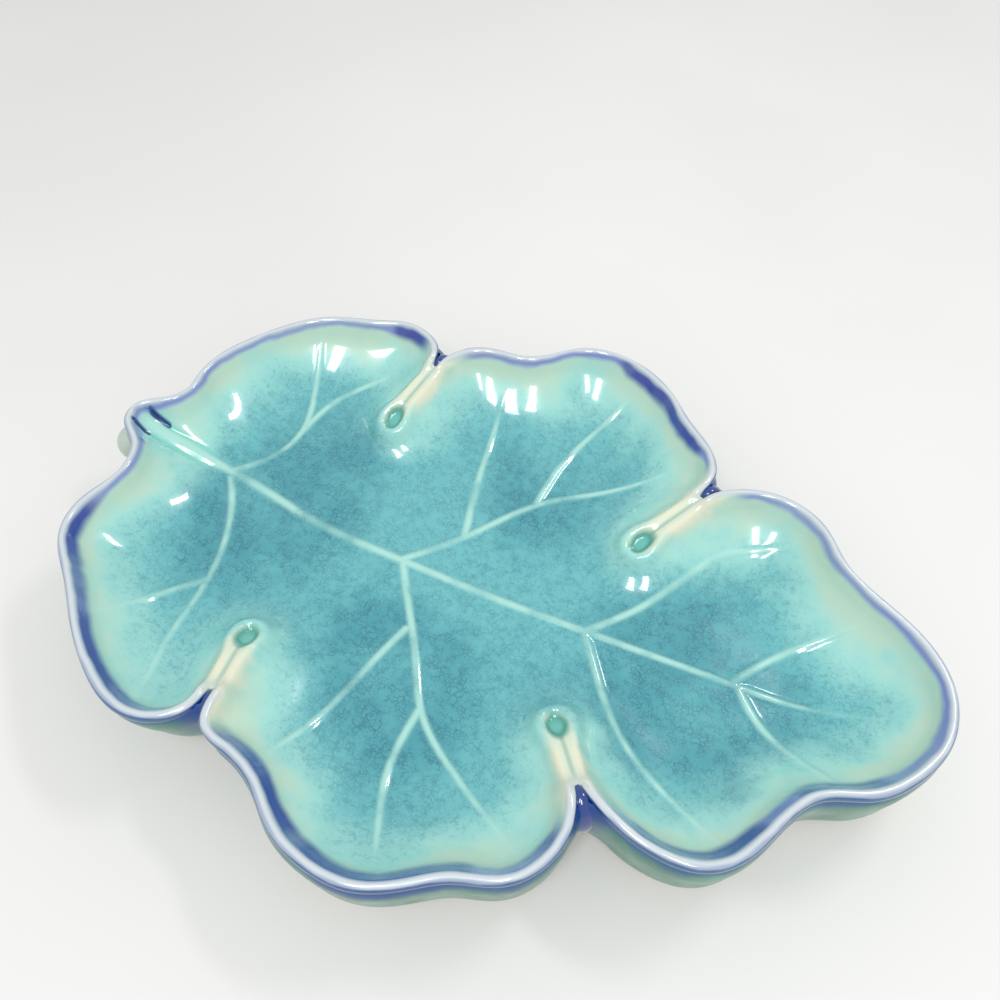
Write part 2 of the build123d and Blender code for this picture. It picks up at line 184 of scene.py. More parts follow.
LOBE_SHARES = [LOW_LEFT_SHARES, LOW_MID_SHARES, END_SHARES, UP_MID_SHARES, UP_LEFT_SHARES]

# Mouth and keyhole centre of the notch after each of the first four lobes
NOTCH_SHARES = [
    ((-0.172, -0.392), (-0.196, -0.268)),
    ((0.201, -0.275), (0.146, -0.180)),
    ((0.197, 0.287), (0.144, 0.164)),
    ((-0.199, 0.350), (-0.218, 0.209)),
]

# Veins from root to tip
MIDRIB_SHARES = [
    (-0.496, -0.018), (-0.461, -0.016), (-0.427, -0.009), (-0.373, -0.004), (-0.240, -0.024),
    (-0.107, -0.024), (0.023, -0.016), (0.128, -0.004), (0.249, 0.011), (0.302, 0.017),
    (0.368, 0.026), (0.425, 0.042),
]
VEIN_SHARES = [
    [(-0.373, 0.000), (-0.344, 0.059), (-0.334, 0.132), (-0.350, 0.209), (-0.372, 0.290)],
    [(-0.334, 0.132), (-0.320, 0.230), (-0.285, 0.290)],
    [(-0.368, -0.016), (-0.343, -0.061), (-0.314, -0.134), (-0.300, -0.203), (-0.285, -0.316),
     (-0.264, -0.385)],
    [(-0.300, -0.203), (-0.328, -0.254), (-0.348, -0.322)],
    [(-0.108, -0.021), (-0.056, 0.067), (0.000, 0.181), (0.065, 0.258), (0.130, 0.325)],
    [(-0.058, 0.070), (-0.085, 0.200), (-0.103, 0.318)],
    [(0.001, 0.187), (0.008, 0.318), (0.038, 0.428)],
    [(-0.104, -0.030), (-0.071, -0.090), (-0.025, -0.176), (0.006, -0.236), (0.075, -0.301), (0.138, -0.345)],
    [(-0.057, -0.131), (-0.070, -0.207), (-0.081, -0.291), (-0.094, -0.375)],
    [(0.005, -0.240), (0.010, -0.341), (0.036, -0.420)],
    [(0.128, -0.004), (0.172, 0.073), (0.212, 0.164), (0.235, 0.214), (0.282, 0.255)],
    [(0.129, -0.008), (0.167, -0.076), (0.209, -0.141), (0.264, -0.188), (0.306, -0.216)],
    [(0.300, 0.023), (0.344, 0.107), (0.382, 0.152)],
    [(0.306, 0.014), (0.336, -0.026), (0.390, -0.070)],
]
KNOB_SHARE = (-0.497, -0.045)
KNOB_RADIUS = 2.9
KNOB_HEIGHT = 9.6
KNOB_STRETCH = 1.15
KNOB_TURNS = 36
KNOB_RISES = 20

# The knob's unevenness, with its wavelength as a share of its radius
KNOB_WAVES = (0.04, 0.9, 21)
KNOB_CROSS_WAVES = (0.04, 1.1, 22)
STEM_WELL_SHARES = [((-0.490, -0.033), (-0.476, -0.035)), ((-0.485, -0.001), (-0.465, 0.001))]
STEM_WELL_RADIUS = 0.33
STEM_WELL_DEPTH = 0.35
STEM_WELL_BED_SHARE = 0.4
STEM_WELL_EDGE_SHARE = 1.7

# Where the blue line inside the lip is strongest
STRONG_BLUE_SHARES = [
    (-0.242, 0.371), (0.128, 0.397), (0.069, 0.464), (0.434, -0.108), (0.346, -0.258), (0.295, -0.288),
    (0.105, -0.452), (0.025, -0.492), (-0.061, -0.462), (-0.120, -0.430), (-0.436, -0.260),
]
STRONG_BLUE_REACH = 9.0
STRONG_BLUE_CORE_SHARE = 0.4

# The line grows stronger towards the near side, from one share of the width to another
NEAR_BLUE = 0.55
NEAR_BLUE_SHARE = -0.12
NEAR_BLUE_FULL_SHARE = -0.36

# Which way the front lies, and how squarely the lip has to face it for the line to widen
FRONT_TURN = math.radians(-64.6)
FRONT_FROM = 0.1
FRONT_FULL = 0.8
FRONT_WIDENING = 0.45

# Where the glaze lies deepest on the floor
DEEP_SHARES = [
    (-0.255, -0.130), (-0.320, -0.060), (-0.020, -0.250), (-0.060, -0.180), (0.215, -0.085), (0.345, -0.030),
    (0.000, 0.210), (-0.270, 0.080), (0.240, 0.080),
]
DEEP_REACH = 11.0


def place(share):
    return np.array([share[0] * LIP_LENGTH, share[1] * LIP_WIDTH])


def smoothstep(low, high, value):
    t = np.clip((value - low) / (high - low), 0, 1)
    return t * t * (3 - 2 * t)


# A cubic spline through points, closed or open, as samples a set distance apart
def spline(points, step, closed):
    points = np.asarray(points, float)
    if closed:
        points = np.vstack([points, points[:1]])
    gaps = np.hypot(*np.diff(points, axis=0).T)
    knots = np.concatenate([[0.0], np.cumsum(gaps)])
    count = len(points)
    matrix = np.zeros((count, count))
    right = np.zeros((count, 2))
    for i in range(1, count - 1):
        matrix[i, i - 1:i + 2] = gaps[i - 1], 2 * (gaps[i - 1] + gaps[i]), gaps[i]
        right[i] = 6 * ((points[i + 1] - points[i]) / gaps[i] - (points[i] - points[i - 1]) / gaps[i - 1])
    if closed:
        matrix[0, 0], matrix[0, -1] = 1, -1
        matrix[-1, :2] = 2 * gaps[0], gaps[0]
        matrix[-1, -2:] += gaps[-1], 2 * gaps[-1]
        right[-1] = 6 * ((points[1] - points[0]) / gaps[0] - (points[-1] - points[-2]) / gaps[-1])
    else:
        matrix[0, 0] = matrix[-1, -1] = 1
    bends = np.linalg.solve(matrix, right)

    def at(values):
        i = np.clip(np.searchsorted(knots, values) - 1, 0, count - 2)
        gap = gaps[i][:, None]
        a = (knots[i + 1] - values)[:, None] / gap
        b = 1 - a
        return (a * points[i] + b * points[i + 1]
                + ((a ** 3 - a) * bends[i] + (b ** 3 - b) * bends[i + 1]) * gap ** 2 / 6)

    fine = np.linspace(0, knots[-1], int(knots[-1] / NEAR_STEP) * 2)
    line = at(fine)
    lengths = np.concatenate([[0.0], np.cumsum(np.hypot(*np.diff(line, axis=0).T))])
    number = max(int(round(lengths[-1] / step)), 4)
    spread = np.linspace(0, lengths[-1], number + 1)
    samples = at(np.interp(spread, lengths, fine))
    return samples[:-1] if closed else samples


def notch_axis(notch):
    mouth, keyhole = (place(share) for share in notch)
    reach = np.hypot(*(keyhole - mouth))
    inward = (keyhole - mouth) / reach
    return mouth, keyhole, inward, np.array([-inward[1], inward[0]]), reach


# The fold of one notch, in at one side, round its loop and out at the other
def fold_points(notch, first_side):
    mouth, keyhole, inward, across, reach = notch_axis(notch)
    along_and_out = [
        (reach * FOLD_START_SHARE, RIDGE_OFFSET),
        (reach * FOLD_NECK_SHARE, RIDGE_OFFSET),
        (reach - LOOP_RADIUS * NECK_END_SHARE, LOOP_RADIUS * NECK_END_OUT_SHARE),
        (reach - LOOP_RADIUS * SHOULDER_SHARE, LOOP_RADIUS * SHOULDER_OUT_SHARE),
        (reach + LOOP_RADIUS * TURN_SHARE, LOOP_RADIUS * TURN_OUT_SHARE),
    ]
    going_in = [mouth + inward * a + across * first_side * o for a, o in along_and_out]
    coming_out = [mouth + inward * a - across * first_side * o for a, o in along_and_out]
    return going_in + [keyhole + inward * LOOP_RADIUS] + coming_out[::-1]


# The lip is one closed line that runs round the lobes and folds into each notch
def lip_points():
    points = []
    for index, shares in enumerate(LOBE_SHARES):
        points += [place(share) for share in shares]
        if index < len(NOTCH_SHARES):
            mouth, keyhole, inward, across, reach = notch_axis(NOTCH_SHARES[index])
            side = 1.0 if (points[-2] - mouth) @ across > 0 else -1.0
            points += fold_points(NOTCH_SHARES[index], side)
    return points


LIP = spline(lip_points(), LIP_STEP, True)
LIP_AHEAD = np.roll(LIP, -1, axis=0) - np.roll(LIP, 1, axis=0)
LIP_AHEAD /= np.hypot(*LIP_AHEAD.T)[:, None]
LIP_OUTWARD = np.stack([LIP_AHEAD[:, 1], -LIP_AHEAD[:, 0]], axis=1)

# The dish's own centre against the centre of the lip line
SHIFT = np.array([CAD_HIGH.x, CAD_HIGH.y]) / MM - LIP.max(axis=0) - SOLID_LIP_OUTSIDE


def nearest(point):
    return int(np.argmin(np.hypot(*(LIP - point).T)))


# The lip line's samples at which each fold begins and ends
def fold_ends():
    ends = []
    for notch in NOTCH_SHARES:
        mouth, keyhole, inward, across, reach = notch_axis(notch)
        start = mouth + inward * reach * FOLD_START_SHARE
        sides = [nearest(start + across * side * RIDGE_OFFSET) for side in (1, -1)]
        ends.append((min(sides), max(sides)))
    return ends


FOLD_ENDS = fold_ends()


def rim_spans():
    spans = []
    for k, (first, last) in enumerate(FOLD_ENDS):
        following = FOLD_ENDS[(k + 1) % len(FOLD_ENDS)][0]
        following += len(LIP) if following < last else 0
        spans.append(np.arange(last, following + 1) % len(LIP))
    return spans


SPANS = rim_spans()
RIM = np.concatenate([LIP[span] for span in SPANS])


# Samples that stand for the walls: the rim, and each notch, softened as its fold gets lower
def wall_samples():
    stride = int(WALL_STEP / LIP_STEP)
    spots = [RIM[::stride]]
    softening = [np.zeros(len(spots[0]))]
    for notch in NOTCH_SHARES:
        mouth, keyhole, inward, across, reach = notch_axis(notch)
        count = int(reach / WALL_STEP)
        along = (np.arange(count) + 0.5) / count
        spots.append(mouth + along[:, None] * reach * inward)
        softening.append(NOTCH_DEPTH * along)
    return np.concatenate(spots), np.concatenate(softening) ** 2


WALL_SPOTS, WALL_SOFTENING = wall_samples()


# Depth inside the walls, smooth where two walls come near. Each sample pulls with the inverse fifth
# power of its distance, so a straight wall pulls with 4 / 3 of the inverse fourth power of the depth.
def wall_depth(points):
    depths = np.empty(len(points))
    for first in range(0, len(points), DEPTH_BATCH):
        part = points[first:first + DEPTH_BATCH]
        apart = ((part[:, None, :] - WALL_SPOTS[None]) ** 2).sum(axis=2) + WALL_SOFTENING
        apart = np.maximum(apart, (WALL_STEP * NEAREST_WALL_SHARE) ** 2)
        pull = (1 / (apart * apart * np.sqrt(apart))).sum(axis=1)
        depths[first:first + DEPTH_BATCH] = (4 / (3 * WALL_STEP * pull)) ** 0.25
    return depths


def height_at(depth):
    return FLOOR_HEIGHT + WALL_RISE * np.clip(1 - depth / WALL_RUN, 0, 1) ** 2


# Slow uneven waves over the plan, as hand-pressed clay has
def waves(points, size, seed):
    chance = np.random.default_rng(seed)
    total = np.zeros(len(points))
    for _ in range(WAVE_COUNT):
        turn = chance.uniform(0, 2 * math.pi)
        length = size * chance.uniform(WAVE_SHORTEST, WAVE_LONGEST)
        phase = chance.uniform(0, 2 * math.pi)
        way = points[:, 0] * math.cos(turn) + points[:, 1] * math.sin(turn)
        total += np.sin(2 * math.pi * way / length + phase)
    return total / WAVE_COUNT


def uneven(points, kind):
    size, wavelength, seed = kind
    return size * waves(points, wavelength, seed)


def smoothed(values, times):
    for _ in range(times):
        values = (np.roll(values, 1) + 2 * values + np.roll(values, -1)) / 4
    return values


# How far each sample of the lip is rim, 1, or fold, 0
def rim_share():
    share = np.ones(len(LIP))
    for first, last in FOLD_ENDS:
        share[first:last + 1] = 0
    return smoothed(share, RIM_SMOOTHING)


LIP_RIM = rim_share()


# The lip is fullest on the lobes, and thins into the folds and round the stem
def lip_profile():
    stem = np.hypot(*(LIP - place(KNOB_SHARE)).T)
    clear = smoothstep(STEM_LIP_NEAR, STEM_LIP_REACH, stem)
    fullest = STEM_LIP_RADIUS + (LIP_RADIUS - STEM_LIP_RADIUS) * clear
    radii = RIDGE_RADIUS + (fullest - RIDGE_RADIUS) * LIP_RIM
    radii *= 1 + uneven(LIP, RADIUS_WAVES)
    lift = RIDGE_LIFT + (LIP_LIFT - RIDGE_LIFT) * LIP_RIM
    heights = height_at(wall_depth(LIP)) + lift + uneven(LIP, CREST_WAVES)
    return radii, smoothed(heights, CREST_SMOOTHING)


LIP_RADII, LIP_HEIGHTS = lip_profile()


# How strong the blue line is along the lip
def blue_share():
    apart = np.min([np.hypot(*(LIP - place(share)).T) for share in STRONG_BLUE_SHARES], axis=0)
    patches = 1 - smoothstep(STRONG_BLUE_REACH * STRONG_BLUE_CORE_SHARE, STRONG_BLUE_REACH, apart)
    near = NEAR_BLUE * smoothstep(-NEAR_BLUE_SHARE, -NEAR_BLUE_FULL_SHARE, -LIP[:, 1] / LIP_WIDTH)
    return np.maximum(patches, near)


LIP_BLUE = blue_share()

# How far each sample of the lip faces the front, where the line is broadest
FRONT = np.array([math.cos(FRONT_TURN), math.sin(FRONT_TURN)])
LIP_FRONT = smoothstep(FRONT_FROM, FRONT_FULL, LIP_OUTWARD @ FRONT)


def tree_of(points):
    tree = kdtree.KDTree(len(points))
    for i, p in enumerate(points):
        tree.insert((p[0], p[1], 0.0), i)
    tree.balance()
    return tree


def nearest_of(tree, points):
    found = [tree.find((p[0], p[1], 0.0)) for p in points.tolist()]
    return np.array([f[1] for f in found]), np.array([f[2] for f in found])


# All veins as samples with the radius there and how far along each sample is
def vein_samples():
    spots, radii, along = [], [], []
    for k, shares in enumerate([MIDRIB_SHARES] + VEIN_SHARES):
        line = spline([place(share) for share in shares], NEAR_STEP, False)
        ahead = line[-1] - line[-VEIN_END_SAMPLES]
        run_out = np.arange(NEAR_STEP, VEIN_RUN_OUT, NEAR_STEP)
        line = np.vstack([line, line[-1] + run_out[:, None] * (ahead / np.hypot(*ahead))])
        root = MIDRIB_RADIUS if k == 0 else VEIN_RADIUS
        way = np.linspace(0, 1, len(line))
        spots.append(line)
        radii.append(root + (VEIN_TIP_RADIUS - root) * way)
        along.append(way)
    return np.concatenate(spots), np.concatenate(radii), np.concatenate(along)


# Grid points inside the dish's outline, and the quads between them
def field_grid():
    ring = RIM[::FIELD_STRIDE]
    low = ring.min(axis=0) - FIELD_MARGIN - FIELD_STEP
    size = ((ring.max(axis=0) + FIELD_MARGIN + FIELD_STEP - low) / FIELD_STEP).astype(int) + 1
    xs = low[0] + np.arange(size[0]) * FIELD_STEP
    ys = low[1] + np.arange(size[1]) * FIELD_STEP
    inside = np.zeros((size[0], size[1]), bool)
    following = np.roll(ring, -1, axis=0)
    for j, y in enumerate(ys):
        over = (ring[:, 1] <= y) != (following[:, 1] <= y)
        a, b = ring[over], following[over]
        crossings = np.sort(a[:, 0] + (y - a[:, 1]) * (b[:, 0] - a[:, 0]) / (b[:, 1] - a[:, 1]))
        inside[:, j] = np.searchsorted(crossings, xs) % 2 == 1
    near = np.zeros_like(inside)
    reach = int(FIELD_MARGIN / FIELD_STEP)
    steps = ((RIM - low) / FIELD_STEP).round().astype(int)
    for dx in range(-reach, reach + 1):
        for dy in range(-reach, reach + 1):
            if dx * dx + dy * dy <= reach * reach:
                column = np.clip(steps[:, 0] + dx, 0, size[0] - 1)
                row = np.clip(steps[:, 1] + dy, 0, size[1] - 1)
                near[column, row] = True
    kept = inside | near
    number = np.full(kept.shape, -1)
    number[kept] = np.arange(kept.sum())
    points = np.stack(np.meshgrid(xs, ys, indexing="ij"), axis=2)[kept]
    corners = [number[:-1, :-1], number[1:, :-1], number[1:, 1:], number[:-1, 1:]]
    corners = np.stack(corners, axis=2).reshape(-1, 4)
    return points, corners[(corners >= 0).all(axis=1)].tolist()


# A smooth piece from points in millimetres, with a number at each point for each named mark
def mesh_piece(name, points, faces, marks=None):
    mesh = bpy.data.meshes.new(name)
    moved = np.array(points, float)
    moved[:, :2] += SHIFT
    mesh.from_pydata((moved * MM).tolist(), [], faces)
    for key, values in (marks or {}).items():
        layer = mesh.attributes.new(key, "FLOAT", "POINT")
        layer.data.foreach_set("value", np.asarray(values, np.float32))
    mesh.polygons.foreach_set("use_smooth", np.ones(len(mesh.polygons), bool))
    mesh.update()
    piece = bpy.data.objects.new(name, mesh)
    bpy.context.scene.collection.objects.link(piece)
    return piece


# Quads between one ring of samples and the next, and from the last ring to the first if closed
def ring_quads(rings, sides, closed=False, flipped=False):
    faces = []
    for i in range(rings if closed else rings - 1):
        a, b = i * sides, (i + 1) % rings * sides
        for j in range(sides):
            k = (j + 1) % sides
            faces.append((a + j, b + j, b + k, a + k) if flipped else (a + j, a + k, b + k, b + j))
    return faces


def segment_distance(points, start, end):
    way = end - start
    along = np.clip((points - start) @ way / (way @ way), 0, 1)
    return np.hypot(*(points - start - along[:, None] * way).T)


# Distance from the middles of the keyholes' pools, which are longer along the notch
def keyhole_distance(points):
    apart = []
    for notch in NOTCH_SHARES:
        mouth, keyhole, inward, across, reach = notch_axis(notch)
        away = points - keyhole + inward * POOL_BACK
        apart.append(np.hypot(away @ inward / POOL_STRETCH, away @ across))
    return np.min(apart, axis=0)


def notch_distance(points):
    return np.min([segment_distance(points, *notch_axis(notch)[:2]) for notch in NOTCH_SHARES], axis=0)


# Distance from a notch as its pale flanks see it, which are narrower beside the keyhole
def flank_distance(points):
    apart = []
    for notch in NOTCH_SHARES:
        mouth, keyhole, inward, across, reach = notch_axis(notch)
        share = np.clip((points - mouth) @ inward / reach, 0, 1)
        apart.append(segment_distance(points, mouth, keyhole) / (1 - FLANK_TAPER * share))
    return np.min(apart, axis=0)


# How deep the glaze lies in the hollows of the floor, from 0 to 1
def deep_share(points):
    apart = [((points - place(share)) ** 2).sum(axis=1) for share in DEEP_SHARES]
    return np.minimum(sum(np.exp(-squares / DEEP_REACH ** 2) for squares in apart), 1)


# Distance from the two pits beside the stem
def pit_distance(points):
    return np.min([segment_distance(points, place(a), place(b)) for a, b in STEM_WELL_SHARES], axis=0)


# What the glaze's colours go by, at points of the plan with their nearest samples of the lip
def glaze_marks(points, side, crest, lip_index):
    return {
        "depth": wall_depth(points),
        "side": side,
        "crest": crest,
        "rim": LIP_RIM[lip_index],
        "blue": LIP_BLUE[lip_index],
        "front": LIP_FRONT[lip_index],
        "notch": notch_distance(points),
        "flank": flank_distance(points),
        "keyhole": keyhole_distance(points),
        "pit": pit_distance(points),
        "deep": deep_share(points),
    }


# How far a hollow has gone down at a distance from its middle, from 0 to 1
def hollow(apart, radius, bed_share, edge_share):
    return 1 - smoothstep(radius * bed_share, radius * edge_share, apart)


# The inside of the dish in one surface, out to just past the lip
def make_field():
    points, quads = field_grid()
    depth = wall_depth(points)
    lip_index, lip_apart = nearest_of(tree_of(LIP), points)
    radius, rim = LIP_RADII[lip_index], LIP_RIM[lip_index]
    softened = LIP_SOFTENING * rim * np.exp(-(depth / LIP_SPREAD) ** 2)
    height = height_at(np.hypot(depth, softened))
    height += uneven(points, FLOOR_WAVES) * smoothstep(FLOOR_WAVES_NEAR, FLOOR_WAVES_FULL, depth)

    # The bowl rises in one sweep to the crest of the lip and of the ridges, and drops away beyond the lip
    top = LIP_HEIGHTS[lip_index] + radius
    spread = radius * (RIDGE_SPREAD + (LIP_SPREAD - RIDGE_SPREAD) * rim)
    height += (top - height) * np.exp(-(lip_apart / spread) ** 2)
    past = ((points - LIP[lip_index]) * LIP_OUTWARD[lip_index]).sum(axis=1) > 0
    outer = past & (rim > OUTER_RIM_SHARE)
    height = np.where(outer, top - LIP_DROP * lip_apart ** 2 / radius, height)

    # Veins stand up round, with glaze gathered at their feet
    spots, radii, along = vein_samples()
    vein_index, vein_apart = nearest_of(tree_of(spots), points)
    width = radii[vein_index]
    fade = 1 - smoothstep(VEIN_FADE_SHARE, 1.0, along[vein_index])
    crest = np.exp(-(vein_apart / width) ** 2) * (VEIN_END_CREST + (1 - VEIN_END_CREST) * fade)
    height += VEIN_LIFT * (width / VEIN_RADIUS) * crest

    # Two gullies run beside the midrib where it leaves the stem
    from_stem = np.hypot(*(points - place(MIDRIB_SHARES[0])).T)
    gully = np.exp(-((vein_apart - GULLY_OFFSET) / GULLY_BREADTH) ** 2)
    gully *= 1 - smoothstep(GULLY_NEAR, GULLY_REACH, from_stem)
    height -= GULLY_DEPTH * gully

    # Glaze lies lower in the keyholes and in the stem's pits
    pool = hollow(keyhole_distance(points), POOL_RADIUS, POOL_BED_SHARE, POOL_EDGE_SHARE)
    pit = hollow(pit_distance(points), STEM_WELL_RADIUS, STEM_WELL_BED_SHARE, STEM_WELL_EDGE_SHARE)
    height -= POOL_SINK * pool
    height -= STEM_WELL_DEPTH * pit
    side = np.where(past, -lip_apart, lip_apart)
    marks = glaze_marks(points, side, crest, lip_index)
    marks["gully"] = gully
    return mesh_piece("bowl_glaze", np.column_stack([points, height]), quads, marks)


# A closed tube along the lip, sunk under the bowl's glaze on its inner half and all round in the folds
def make_lip():
    turn = np.arange(TUBE_SIDES) / TUBE_SIDES * 2 * math.pi
    rings = []
    for spot, outward, radius, height, rim in zip(LIP, LIP_OUTWARD, LIP_RADII, LIP_HEIGHTS, LIP_RIM):
        side = np.cos(turn) * radius
        inner = np.minimum(np.cos(turn), 0) ** 2
        sunk = radius * (TUBE_SINK_SHARE * inner + FOLD_SINK_SHARE * (1 - rim))
        rings.append(np.column_stack([spot + outward * side[:, None], height + np.sin(turn) * radius - sunk]))
    points = np.concatenate(rings)
    side = -(np.cos(turn)[None, :] * LIP_RADII[:, None]).ravel()
    lip_index = np.repeat(np.arange(len(LIP)), TUBE_SIDES)
    marks = glaze_marks(points[:, :2], side, np.zeros(len(points)), lip_index)
    marks["up"] = np.tile(np.sin(turn), len(LIP))
    return mesh_piece("lip", points, ring_quads(len(LIP), TUBE_SIDES, closed=True, flipped=True), marks)


def mouth_of(k):
    return notch_axis(NOTCH_SHARES[k % len(NOTCH_SHARES)])


# One lobe's outline at some distance outside the lip line, from corner to corner
def outline_span(k, outside, count):
    corners = []
    for notch in (k, k + 1):
        mouth, keyhole, inward, across, reach = mouth_of(notch)
        corners.append(mouth - inward * outside * CORNER_REACH)
    inner = [i for i in SPANS[k][::OUTLINE_STRIDE]
             if min(np.hypot(*(LIP[i] - mouth_of(n)[0])) for n in (k, k + 1)) > CORNER_CLEAR]
    line = [corners[0]] + [LIP[i] + LIP_OUTWARD[i] * outside for i in inner] + [corners[1]]
    samples = spline(line, LIP_STEP, False)
    spread = np.linspace(0, len(samples) - 1, count + 1)[:-1]
    whole = np.arange(len(samples))
    return np.column_stack([np.interp(spread, whole, samples[:, axis]) for axis in (0, 1)])


def wall_marks(points):
    stem = np.hypot(np.hypot(*(points[:, :2] - place(KNOB_SHARE)).T), points[:, 2] - KNOB_HEIGHT)
    return {"level": points[:, 2], "notch": notch_distance(points[:, :2]), "stem": stem}


# One lobe leans further in towards its base than the others
def undercut(ring, height):
    apart = np.hypot(*(ring - place(UNDERCUT_SHARE)).T)
    fall = np.clip((WALL_TUCK_HEIGHT - height) / (WALL_TUCK_HEIGHT - FOOT_HEIGHT), 0, 1)
    near = 1 - smoothstep(UNDERCUT_REACH * UNDERCUT_NEAR_SHARE, UNDERCUT_REACH, apart)
    lean = UNDERCUT * near * fall
    inward = -ring / np.hypot(*ring.T)[:, None]
    return ring + inward * lean[:, None]


# The outer wall from under the lip down to the base, closed below
def make_wall():
    outside_and_height = [
        (-BASE_INSIDE, FOOT_HEIGHT), (-WALL_HEEL_INSIDE, WALL_HEEL_HEIGHT),
        (WALL_BEND_OUTSIDE, WALL_BEND_HEIGHT), (WALL_OUTSIDE, WALL_BULGE_HEIGHT),
        (WALL_OUTSIDE, RIM_CENTRE_HEIGHT - LIP_RADIUS), (WALL_TUCK_OUTSIDE, WALL_TUCK_HEIGHT),
        (0.0, RIM_CENTRE_HEIGHT + LIP_LIFT),
    ]
    profile = spline(outside_and_height, RING_STEP, False)
    counts = [len(span) // RING_STRIDE for span in SPANS]
    rings = []
    for outside, height in profile:
        ring = np.concatenate([outline_span(k, outside, counts[k]) for k in range(len(SPANS))])
        rings.append(np.column_stack([undercut(ring, height), np.full(len(ring), height)]))
    points = np.concatenate(rings)
    faces = ring_quads(len(rings), len(rings[0]))
    faces += [tuple(f) for f in tessellate_polygon([[Vector(p) for p in rings[0].tolist()]])]
    return mesh_piece("outer_wall", points, faces, wall_marks(points))


# The cut end of the stem, a slightly lumpy round knob
def make_knob():
    points = []
    for i in range(KNOB_RISES + 1):
        rise = math.pi * i / KNOB_RISES
        for j in range(KNOB_TURNS):
            turn = 2 * math.pi * j / KNOB_TURNS
            points.append((math.sin(rise) * math.cos(turn), math.sin(rise) * math.sin(turn), math.cos(rise)))
    points = np.array(points)
    swell = 1 + uneven(points[:, :2], KNOB_WAVES) + uneven(points[:, 1:], KNOB_CROSS_WAVES)
    radii = np.array([KNOB_RADIUS, KNOB_RADIUS, KNOB_RADIUS * KNOB_STRETCH])
    shaped = points * swell[:, None] * radii + np.array([*place(KNOB_SHARE), KNOB_HEIGHT])
    faces = ring_quads(KNOB_RISES + 1, KNOB_TURNS, flipped=True)
    return mesh_piece("stem_knob", shaped, faces, wall_marks(shaped))


def join(name, pieces):
    bpy.ops.object.select_all(action="DESELECT")
    for piece in pieces:
        piece.select_set(True)
    bpy.context.view_layer.objects.active = pieces[0]
    bpy.ops.object.join()
    pieces[0].name = name
    return pieces[0]


# Way of a drip out of a notch and down the corner between two lobes: distance out, height and half width
DRIP_WAY = [
    (-1.9, 14.2, 0.35), (-1.2, 14.8, 0.7), (-0.3, 14.9, 1.1), (0.6, 14.4, 1.5), (1.4, 13.3, 1.75),
    (1.9, 11.8, 1.7), (2.0, 10.2, 1.45), (1.9, 8.7, 1.0), (1.7, 7.5, 0.6), (1.5, 6.6, 0.15),
]
DRIP_SIZES = [0.5, 0.85, 0.8, 0.75]
DRIP_THICKNESS_SHARE = 0.55
DRIP_SIDES = 24


# A smooth drip of glaze swept down from the mouth of a notch
def drip(name, notch, size):
    mouth, keyhole, inward, across, reach = notch_axis(notch)
    profile = spline([(out, height) for out, height, width in DRIP_WAY], DRIP_STEP, False)
    given = np.linspace(0, 1, len(DRIP_WAY))
    widths = np.interp(np.linspace(0, 1, len(profile)), given, [width for out, height, width in DRIP_WAY])
    ahead = np.gradient(profile, axis=0)
    ahead /= np.hypot(*ahead.T)[:, None]
    turn = np.arange(DRIP_SIDES) / DRIP_SIDES * 2 * math.pi
    rings = []
    for (out, height), (forth, rise), width in zip(profile, ahead, widths * size):
        wide, thick = np.cos(turn) * width, np.sin(turn) * DRIP_THICKNESS_SHARE * width
        plan = mouth - inward * out + across * wide[:, None] + inward * (rise * thick)[:, None]
        rings.append(np.column_stack([plan, height + forth * thick]))
    points = np.concatenate(rings)
    faces = ring_quads(len(rings), DRIP_SIDES)
    faces.append(tuple(range(DRIP_SIDES))[::-1])
    faces.append(tuple(range(len(points) - DRIP_SIDES, len(points))))
    return mesh_piece(name, points, faces)


def make_pools():
    drips = [drip(f"drip_{k}", notch, DRIP_SIZES[k]) for k, notch in enumerate(NOTCH_SHARES)]
    return join("mouth_glaze", drips)


# Materials

# A colour as it looks, in red, green and blue up to 255, by the standard curve
def linear(red, green, blue):
    parts = [c / 255 for c in (red, green, blue)]
    return tuple(c / 12.92 if c <= 0.04045 else ((c + 0.055) / 1.055) ** 2.4 for c in parts) + (1.0,)


CREAM = linear(179, 211, 191)
RIDGE_CREAM = linear(208, 220, 198)
PEACH = linear(228, 218, 190)
AQUA = linear(150, 211, 203)
TEAL = linear(96, 176, 180)
DEEP_TEAL = linear(48, 140, 152)
GULLY_GREEN = linear(104, 196, 176)
CRACK = linear(22, 102, 122)
VEIN = linear(163, 215, 204)
COBALT = linear(0, 56, 128)
STRONG_LINE = linear(42, 60, 152)
BLUE_LINE = linear(116, 130, 194)
LAVENDER = linear(148, 162, 186)
# White of the lip, used along its crest as a painted highlight
LIP_WHITE_AND_CREST_HIGHLIGHT = linear(192, 202, 207)
BAND_BLUE = linear(40, 90, 130)
GREEN = linear(58, 116, 98)
PALE_GREEN = linear(86, 144, 122)
POOL_GREEN = linear(66, 150, 134)
POOL_TEAL = linear(98, 184, 176)
# Painted shade in the thin groove between the two ridges of a fold
GROOVE_SHADE_GREY = linear(132, 168, 152)
PIT_BLUE = linear(4, 48, 118)
STEM_PALE = linear(196, 208, 196)
CLAY = linear(196, 180, 152)
DARK_CLAY = linear(170, 152, 124)
PALE_FLOOR = linear(226, 226, 224)
GREY_FLOOR = linear(220, 220, 218)

# Gloss. The outer wall has little clear coat, because the glaze lies thin there.
GLASS_IOR = 1.5
COAT_ROUGHNESS = 0.04
WALL_COAT = 0.35
BOWL_ROUGHNESS = (0.16, 0.26)
LIP_ROUGHNESS = (0.16, 0.28)
WALL_ROUGHNESS = (0.3, 0.44)
POOL_ROUGHNESS = 0.1
CLAY_ROUGHNESS = 0.85
FLOOR_ROUGHNESS = 0.8

